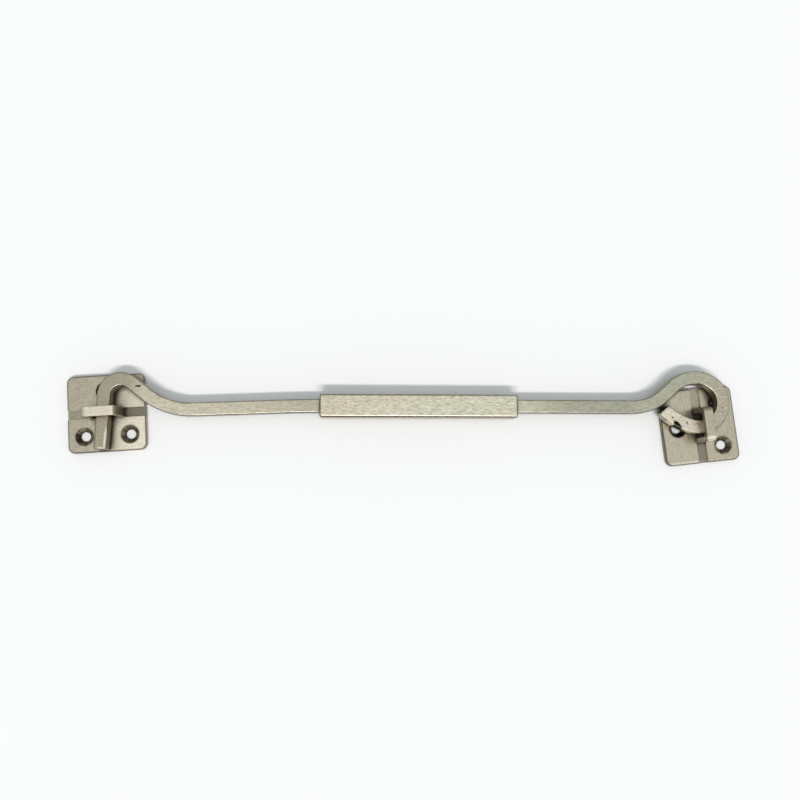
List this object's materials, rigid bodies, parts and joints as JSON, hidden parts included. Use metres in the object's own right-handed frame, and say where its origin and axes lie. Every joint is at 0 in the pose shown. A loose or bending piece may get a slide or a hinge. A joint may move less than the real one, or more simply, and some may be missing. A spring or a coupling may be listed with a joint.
{
  "type": "cabin hook stay",
  "caption": "Square-bar cabin hook that holds a window or door open: a hooked bar with a closed eye and a grip sleeve, between a keeper and an eye plate with bent staples.",
  "frame": {"origin": "the eye's swing axis, where it meets the back face of the eye plate", "axes": "+X along the bar, away from the hook; +Y across the bar, on the side that the eye and the hook rise to; +Z away from the surface that the plates are screwed to"},
  "size_m": [0.3558, 0.0503, 0.0178],
  "materials": {
    "satin_nickel": "satin nickel plate, brushed along each piece"
  },
  "bodies": {
    "plates": {"eye_plate": "satin_nickel", "eye_staple": "satin_nickel", "keeper_plate": "satin_nickel", "keeper_staple": "satin_nickel"},
    "rod": {"hook_rod": "satin_nickel", "grip_sleeve": "satin_nickel"}
  },
  "joints": [
    {"name": "rod_swing", "type": "hinge", "parent": "plates", "child": "rod", "pos_m": [0, 0, 0.0068], "axis": [0, 0, 1], "range_deg": [-200, 1.5]}
  ]
}
